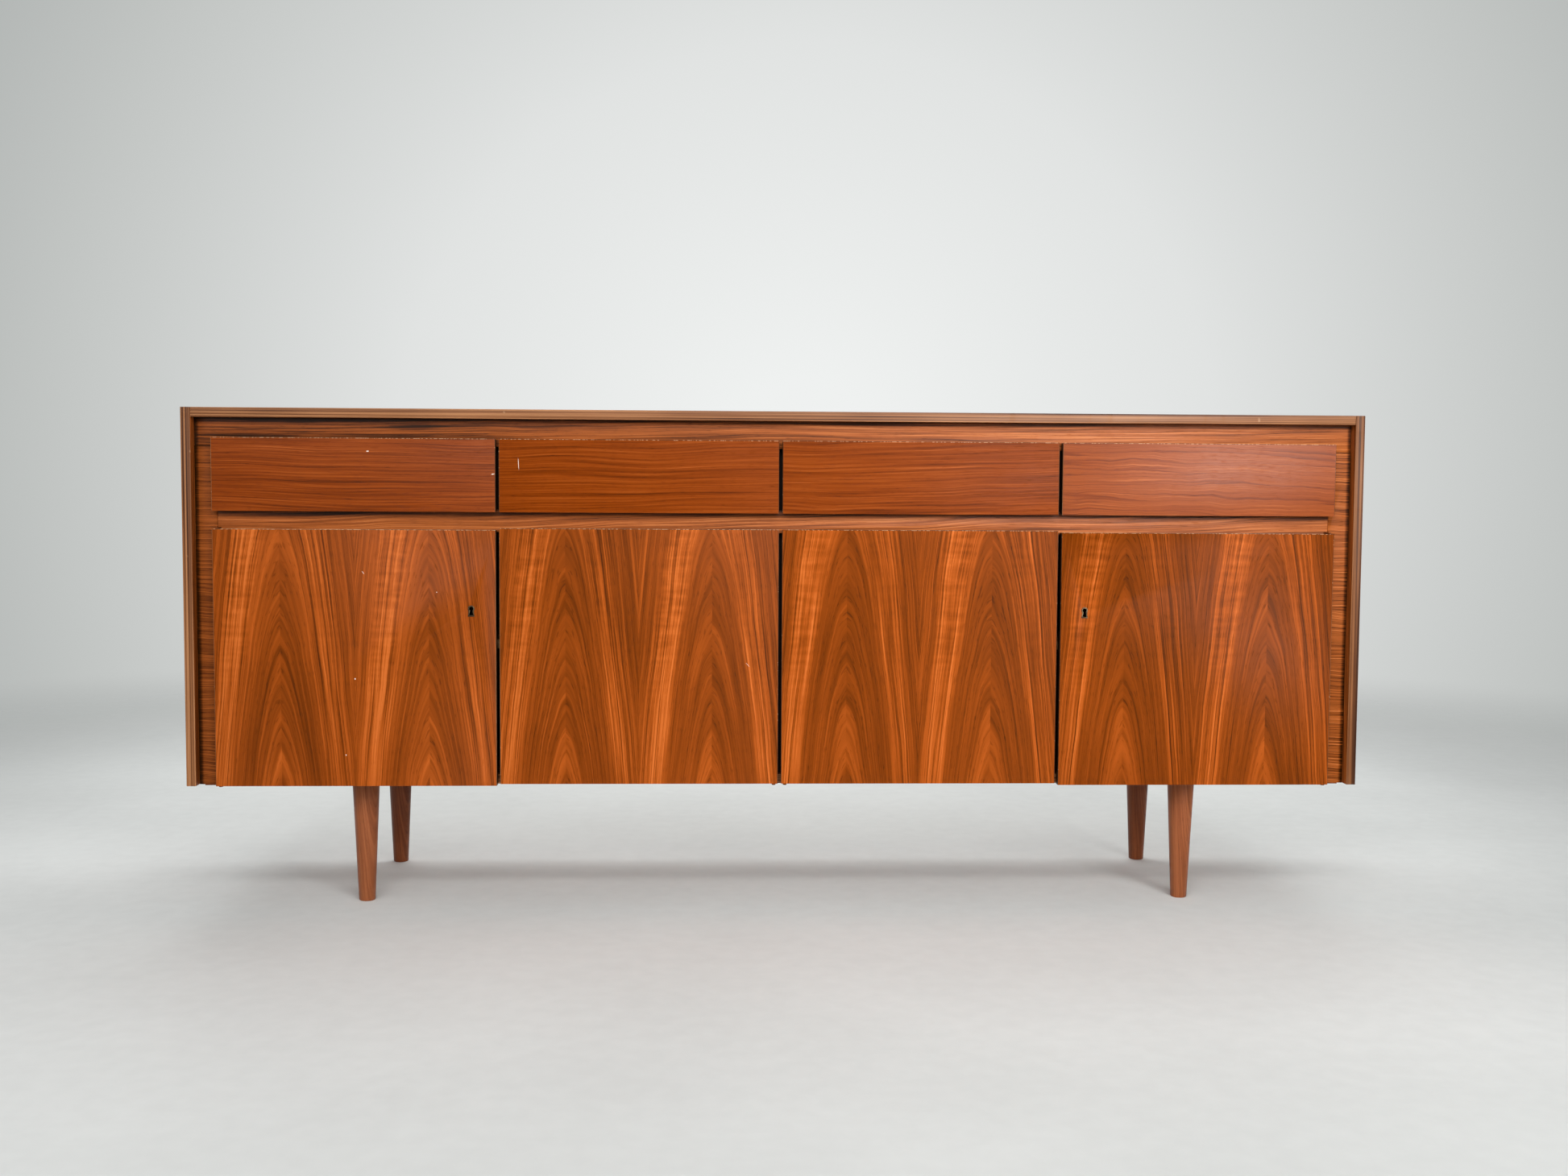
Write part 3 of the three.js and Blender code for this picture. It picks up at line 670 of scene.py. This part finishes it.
def dress_sides():
    for number, side in enumerate(SIDES):
        node = f"{side}_side_panel"
        figure = long_figure("z", "y", 0.22, 0.05, 0.05, 11.0 + number, base=0.50)
        band_base = 0.52 - 0.2 * number
        dress(node, panel_material(f"{side}_side_veneer", node, figure, "z", band_base), PANEL_BEVEL)


def dress_stiles():
    inner_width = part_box("right_side_panel")[0].x
    stile_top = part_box("left_stile")[1].z

    # Painted shade on the stile beside the side panel, and a dark joint line under the upper rail.
    def beside_panel_and_rail(graph):
        joint = (stile_top - graph.z) * 6  # the dark line at the joint is six times narrower
        return graph.math("MINIMUM", inner_width - abs(graph.x), joint)

    for number, side in enumerate(SIDES):
        node = f"{side}_stile"
        paler = 0.12 * number
        bolder = 0.4 * number
        figure = long_figure("x", "z", -0.4, 0.05, 0.02, 15.0 + 4 * number, base=0.48 + paler,
                             strength=0.7 + bolder, waves=0.008)
        veneer = board_material(f"{side}_stile_veneer", node, figure, beside_panel_and_rail, gloss=0.08)
        dress(node, veneer)


def dress_rails():
    inner_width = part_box("right_side_panel")[0].x
    top_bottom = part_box("top_panel")[0].z
    drawer_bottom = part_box("outer_left_drawer_front")[0].z

    # Painted shade: under the top panel and beside the side panels on the upper rail, and under the
    # drawer fronts on the middle rail.
    def under_top(graph):
        return graph.math("MINIMUM", top_bottom - graph.z, inner_width - abs(graph.x))

    def under_drawers(graph):
        return drawer_bottom - graph.z

    upper = long_figure("x", "z", 0.09, 0.02, 0.006, 21.5, base=0.46, strength=0.9, wander=0.02,
                        lift=0.30, smoke=(0.25, 0.5))
    dress("upper_rail", board_material("upper_rail_veneer", "upper_rail", upper, under_top))
    middle = long_figure("x", "z", 0.05, 0.02, 0.03, 23.5, base=0.68, strength=0.9, lift=0.02)
    dress("middle_rail", board_material("middle_rail_veneer", "middle_rail", middle, under_drawers))


def dress_inside():
    lengthwise = inner_material("inner_wood_lengthwise", "x", "y")
    # The front edges of the partition and the dividers are painted dark as shade.
    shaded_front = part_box("centre_partition")[0].y + FACE_DEPTH
    partition = inner_material("partition_wood", "z", "y", shaded_front)
    divider = inner_material("divider_wood", "y", "z", shaded_front)
    dress("centre_partition", partition)
    for side in SIDES:
        dress(f"{side}_dust_panel", lengthwise)
        dress(f"{side}_drawer_divider", divider)
        dress(f"{side}_drawer_guide", divider)
        dress(f"{side}_cupboard_shelf", lengthwise)
        back = f"{side}_back_panel"
        dress(back, hardboard_material(f"{side}_hardboard", back), 0.3 * MM)
    for name in FRONT_NAMES:
        box = f"{name}_drawer_box"
        dress(box, drawer_box_material(f"{name}_box_wood", box))
        dress(f"{name}_drawer_bottom", lengthwise, 0.2 * MM)


def dress_legs():
    # The back legs are painted darker than the front ones, as painted shade under the case.
    for end, base in (("front", 0.54), ("back", 0.26)):
        for side in SIDES:
            node = f"{end}_{side}_leg"
            dress(node, leg_material(f"{node}_wood", node, base), 0.4 * MM)


def dress_metal():
    steel_shades = (colour(78, 72, 65), colour(122, 114, 104))
    steel = metal_material("dark_steel", *steel_shades, 0.42)
    # Deep in the keyhole the lock case and the inside of the rim are painted black as shade.
    rim_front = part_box("outer_left_keyhole_rim")[0].y
    lock_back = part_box("outer_left_lock_case")[1].y
    lock_steel = metal_material("lock_steel", *steel_shades, 0.42, (rim_front, lock_back - 0.5 * MM))
    brass = metal_material("aged_brass", colour(118, 96, 62), colour(182, 160, 122), 0.34)
    bronze_shades = (colour(58, 46, 33), colour(110, 90, 66))
    bronze = metal_material("dark_bronze", *bronze_shades, 0.4, (rim_front + 0.3 * MM, lock_back))
    brown = painted_material("brown_painted_steel", colour(104, 50, 16), colour(128, 66, 24))
    fine = 0.2 * MM
    for end in ("front", "back"):
        for side in SIDES:
            dress(f"{end}_{side}_leg_plate", steel, fine)
    for place in PLACES:
        dress(f"{place}_upper_pivot_iron", brown, fine)
        dress(f"{place}_lower_pivot_iron", brown, fine)
    for side in SIDES:
        dress(f"outer_{side}_lock_case", lock_steel, fine)
        dress(f"outer_{side}_lock_bolt", brass, fine)
        dress(f"outer_{side}_keyhole_rim", bronze, fine)
        dress(f"inner_{side}_bolt_housing", steel, fine)
        dress(f"inner_{side}_door_bolt", brass, fine)


# ---------------------------------------------------------------------------------------------
# Small fittings

UPWARD = Vector((0, 0, 1))
DOWNWARD = Vector((0, 0, -1))
BACKWARD = Vector((0, 1, 0))


def body_of(node):
    """The name of the body that a CAD node belongs to."""
    return next(name for name, empty in frame["bodies"].items() if empty == nodes[node].parent)


def place_piece(name, mesh, node, place, facing=UPWARD, turn=0.0):
    """Stands a mesh on a place, pointing its Z along facing, and fixes it to the body of a node."""
    piece = bpy.data.objects.new(name, mesh)
    bpy.context.scene.collection.objects.link(piece)
    aim = UPWARD.rotation_difference(facing).to_matrix().to_4x4()
    piece.matrix_world = Matrix.Translation(place) @ aim @ Matrix.Rotation(turn, 4, "Z")
    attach(piece, body_of(node))


def make_mesh(name, points, faces, material):
    mesh = bpy.data.meshes.new(name)
    mesh.from_pydata(points, [], faces)
    mesh.materials.append(material)
    for polygon in mesh.polygons:
        polygon.use_smooth = True
    mesh.validate()
    return mesh


def turned_mesh(name, profile, material, sides=32):
    """Turns a profile of (radius, height) points about the Z axis."""
    points = []
    for radius, height in profile:
        for step in range(sides):
            angle = 2 * math.pi * step / sides
            points.append((radius * math.cos(angle), radius * math.sin(angle), height))
    faces = []
    for ring in range(len(profile) - 1):
        for step in range(sides):
            following = (step + 1) % sides
            faces.append((
                ring * sides + step,
                ring * sides + following,
                (ring + 1) * sides + following,
                (ring + 1) * sides + step,
            ))
    faces.append(tuple(reversed(range(sides))))
    faces.append(tuple((len(profile) - 1) * sides + step for step in range(sides)))
    return make_mesh(name, points, faces, material)


def screw_mesh(name, radius, height, material):
    """A domed, slotted screw head, laid out as chords that run along the slot. Sizes across it are
    shares of the radius, and slot_floor is a share of the height."""
    half_slot = 0.14
    slot_slope = 0.015
    slot_floor = 0.3
    far_side = [0.998, 0.94, 0.82, 0.64, 0.44, 0.28, half_slot + slot_slope, half_slot]
    offsets = far_side + [-offset for offset in reversed(far_side)]
    columns = 17
    points = []
    for offset in offsets:
        half_chord = math.sqrt(1 - offset**2)
        for column in range(columns):
            along = half_chord * math.sin(math.pi * (column / (columns - 1) - 0.5))
            rise = height * math.sqrt(max(0.0, 1 - along**2 - offset**2))
            if abs(offset) <= half_slot:
                rise = min(rise, height * slot_floor)
            points.append((along * radius, offset * radius, rise))
    faces = []
    for row in range(len(offsets) - 1):
        for column in range(columns - 1):
            corner = row * columns + column
            faces.append((corner, corner + columns, corner + columns + 1, corner + 1))
    return make_mesh(name, points, faces, material)


def add_leg_plate_screws(mesh):
    inset = 6 * MM
    plate_thickness = 3 * MM
    for end in ("front", "back"):
        for side in SIDES:
            node = f"{end}_{side}_leg_plate"
            low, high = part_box(node)
            height = high.z - plate_thickness
            columns = (low.x + inset, high.x - inset)
            rows = (low.y + inset, high.y - inset)
            for number, (x, y) in enumerate(itertools.product(columns, rows)):
                name = f"{node}_screw_{number + 1}"
                place_piece(name, mesh, node, (x, y, height), DOWNWARD, turn=number * 1.1)


def add_iron_screws(mesh):
    """Two screws hold each lower pivot iron up to the bottom panel."""
    inset = 7 * MM
    half_spacing = 7 * MM
    for place in PLACES:
        node = f"{place}_lower_pivot_iron"
        low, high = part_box(node)
        middle = (low.x + high.x) / 2
        for number, x in enumerate((middle - half_spacing, middle + half_spacing)):
            name = f"{node}_screw_{number + 1}"
            spot = (x, high.y - inset, low.z)
            place_piece(name, mesh, node, spot, DOWNWARD, turn=number + 0.4)


def add_lock_screws(mesh):
    inset = 5 * MM
    for side in SIDES:
        node = f"outer_{side}_lock_case"
        low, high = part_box(node)
        columns = (low.x + inset, high.x - inset)
        rows = (low.z + inset, high.z - inset)
        for number, (x, z) in enumerate(itertools.product(columns, rows)):
            name = f"{node}_screw_{number + 1}"
            place_piece(name, mesh, node, (x, high.y, z), BACKWARD, turn=number * 0.9)


def add_housing_screws(mesh):
    inset = 4.5 * MM
    for side in SIDES:
        node = f"inner_{side}_bolt_housing"
        low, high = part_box(node)
        middle = (low.x + high.x) / 2
        for number, height in enumerate((low.z + inset, high.z - inset)):
            name = f"{node}_screw_{number + 1}"
            place_piece(name, mesh, node, (middle, high.y, height), BACKWARD, turn=number * 1.3)


def add_shelf_pins(material):
    """Four stepped brass pins carry each shelf, let into the case side and the partition."""
    profile = (
        (4.0 * MM, 0.0),
        (4.0 * MM, 1.0 * MM),
        (3.6 * MM, 1.3 * MM),
        (2.5 * MM, 1.4 * MM),
        (2.5 * MM, 7.4 * MM),
        (2.1 * MM, 7.8 * MM),
    )
    mesh = turned_mesh("shelf_pin", profile, material)
    pin_radius = 2.6 * MM
    inset = 60 * MM
    partition_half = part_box("centre_partition")[1].x
    side_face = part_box("right_side_panel")[0].x
    for sign, side in zip((-1, 1), SIDES):
        low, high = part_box(f"{side}_cupboard_shelf")
        for wall, x, facing in (("side", side_face, -sign), ("partition", partition_half, sign)):
            for end, y in (("front", low.y + inset), ("back", high.y - inset)):
                spot = (sign * x, y, low.z - pin_radius)
                name = f"{side}_shelf_pin_{wall}_{end}"
                place_piece(name, mesh, f"{side}_side_panel", spot, Vector((facing, 0, 0)))


def add_fittings():
    steel = metal_material("screw_steel", colour(92, 86, 78), colour(140, 132, 120), 0.36)
    brass = metal_material("screw_brass", colour(150, 122, 78), colour(208, 182, 132), 0.32)
    large = screw_mesh("large_screw", 3.6 * MM, 1.4 * MM, steel)
    small = screw_mesh("small_screw", 2.4 * MM, 1.0 * MM, brass)
    add_leg_plate_screws(large)
    add_iron_screws(screw_mesh("iron_screw", 3.0 * MM, 1.2 * MM, steel))
    add_lock_screws(small)
    add_housing_screws(small)
    add_shelf_pins(brass)


# ---------------------------------------------------------------------------------------------
# Floor, light and camera

FLOOR_RADIUS = 5.0
FLOOR_FADE = (1.7, 4.2)  # from solid to nothing, in metres from the middle
FLOOR_SHADES = ((0.35, colour(227, 230, 228)), (0.65, colour(237, 240, 238)))
DIM_FLOOR = colour(172, 174, 172)
DIM_IN_FRONT = (0.8, 1.8)  # where the floor starts to dim and where it stops getting dimmer
DIM_BESIDE = (1.0, 2.2)


def make_floor():
    """A pale floor that fades into the backdrop well away from the sideboard."""
    bpy.ops.mesh.primitive_circle_add(vertices=128, radius=FLOOR_RADIUS, fill_type="NGON")
    floor = bpy.context.object
    floor.name = "studio_floor"
    graph = Graph("studio_floor")
    specks = graph.noise(graph.x * 30, graph.y * 30, 0.0, detail=4)
    clouds = graph.noise(graph.x * 1.5, graph.y * 1.5, 0.0, detail=3)
    shade = graph.ramp(specks * 0.3 + clouds * 0.7, FLOOR_SHADES)
    # Painted shade darkens the floor's colour in front and to the sides.
    in_front = graph.ease(0 - graph.y, *DIM_IN_FRONT) * 0.6
    beside = graph.ease(abs(graph.x), *DIM_BESIDE) * 0.3
    graph.surface(graph.mix(graph.either(in_front, beside), shade, DIM_FLOOR), 0.7)
    distance = (graph.x * graph.x + graph.y * graph.y) ** 0.5
    clear = graph.tree.nodes.new("ShaderNodeBsdfTransparent")
    fade = graph.tree.nodes.new("ShaderNodeMixShader")
    output = graph.tree.nodes["Material Output"]
    graph.feed(fade.inputs[0], graph.ease(distance, *FLOOR_FADE))
    graph.tree.links.new(graph.shader.outputs[0], fade.inputs[1])
    graph.tree.links.new(clear.outputs[0], fade.inputs[2])
    graph.tree.links.new(fade.outputs[0], output.inputs["Surface"])
    floor.data.materials.append(graph.material)


def make_softbox(name, place, aim, size, power, spread=180):
    """A rectangular lamp of so many watts, out of the camera's sight. spread is in degrees."""
    light = bpy.data.lights.new(name, "AREA")
    light.shape = "RECTANGLE"
    light.size, light.size_y = size
    light.energy = power
    light.spread = math.radians(spread)
    lamp = bpy.data.objects.new(name, light)
    lamp.location = place
    lamp.rotation_euler = (Vector(aim) - Vector(place)).to_track_quat("-Z", "Y").to_euler()
    lamp.visible_camera = False
    bpy.context.scene.collection.objects.link(lamp)


BACKDROP_STOPS = (  # how far a direction points from the middle, and the shade seen there
    (0.05, colour(239, 241, 240)),
    (0.25, colour(225, 227, 226)),
    (0.44, colour(193, 196, 194)),
    (0.58, colour(163, 167, 166)),
)
BACKDROP_MIDDLE = (0.05, 0.0, 0.02)
AMBIENT_SHADE = colour(230, 232, 233)
AMBIENT_STRENGTH = 0.28


def distance_from_middle(tree):
    """How far the direction of a ray points from the middle of the backdrop, seen along Y."""
    direction = tree.nodes.new("ShaderNodeTexCoord").outputs["Generated"]
    offset = tree.nodes.new("ShaderNodeVectorMath")
    offset.operation = "MULTIPLY_ADD"
    offset.inputs[1].default_value = (1.0, 0.0, 1.0)
    offset.inputs[2].default_value = [-part for part in BACKDROP_MIDDLE]
    length = tree.nodes.new("ShaderNodeVectorMath")
    length.operation = "LENGTH"
    tree.links.new(direction, offset.inputs[0])
    tree.links.new(offset.outputs["Vector"], length.inputs[0])
    return length.outputs["Value"]


def make_backdrop():
    """A pale backdrop, brightest behind the sideboard. It lights the room more dimly than it looks."""
    world = bpy.data.worlds.new("pale_studio")
    world.use_nodes = True
    tree = world.node_tree
    ramp = tree.nodes.new("ShaderNodeValToRGB")
    set_stops(ramp.color_ramp, BACKDROP_STOPS)
    tree.links.new(distance_from_middle(tree), ramp.inputs["Fac"])
    view = tree.nodes["Background"]
    tree.links.new(ramp.outputs["Color"], view.inputs["Color"])
    ambient = tree.nodes.new("ShaderNodeBackground")
    ambient.inputs["Color"].default_value = (*AMBIENT_SHADE, 1.0)
    ambient.inputs["Strength"].default_value = AMBIENT_STRENGTH
    either = tree.nodes.new("ShaderNodeMixShader")
    seen = tree.nodes.new("ShaderNodeLightPath").outputs["Is Camera Ray"]
    tree.links.new(seen, either.inputs[0])
    tree.links.new(ambient.outputs[0], either.inputs[1])
    tree.links.new(view.outputs[0], either.inputs[2])
    tree.links.new(either.outputs[0], tree.nodes["World Output"].inputs["Surface"])
    bpy.context.scene.world = world


def make_light():
    middle = (cad_low + cad_high) / 2
    make_softbox("key", (0.1, -3.1, 2.3), middle, (3.2, 1.4), 98)
    make_softbox("right_window", (1.6, -2.9, 1.1), (0.6, -0.2, 0.7), (0.8, 0.9), 5, spread=60)
    make_softbox("left_window", (-2.6, -2.8, 1.5), (-0.4, -0.2, 0.55), (1.6, 1.4), 17)
    make_softbox("behind", (0.0, 1.3, 1.9), (0.0, 1.2, 0.0), (3.6, 1.0), 40)
    bpy.context.scene.view_settings.view_transform = "Standard"


CAMERA_DISTANCE = 2.663  # from the plane of the fronts
CAMERA_LEFT = 0.097  # from the middle of the case
CAMERA_HEIGHT = 0.719
CAMERA_YAW = math.radians(2.22)  # turned to the right
CAMERA_PITCH = math.radians(3.51)  # looking down
CAMERA_ROLL = math.radians(0.33)
CAMERA_LENS = 36.11  # on a sensor 36 mm wide


def make_camera():
    lens = bpy.data.cameras.new("camera")
    lens.lens = CAMERA_LENS
    lens.sensor_width = 36.0
    camera = bpy.data.objects.new("camera", lens)
    bpy.context.scene.collection.objects.link(camera)
    bpy.context.scene.camera = camera
    ahead = Vector((
        math.sin(CAMERA_YAW) * math.cos(CAMERA_PITCH),
        math.cos(CAMERA_YAW) * math.cos(CAMERA_PITCH),
        -math.sin(CAMERA_PITCH),
    ))
    level = Vector((math.cos(CAMERA_YAW), -math.sin(CAMERA_YAW), 0.0))
    right = Matrix.Rotation(-CAMERA_ROLL, 3, ahead) @ level
    up = right.cross(ahead)
    turn = Matrix((right, up, -ahead)).transposed()
    place = Vector((-CAMERA_LEFT, cad_low.y - CAMERA_DISTANCE, CAMERA_HEIGHT))
    camera.matrix_world = Matrix.Translation(place) @ turn.to_4x4()


make_camera()
make_backdrop()
make_light()
make_floor()
dress_top_and_bottom()
dress_sides()
dress_stiles()
dress_rails()
dress_fronts()
dress_inside()
dress_legs()
dress_metal()
add_fittings()
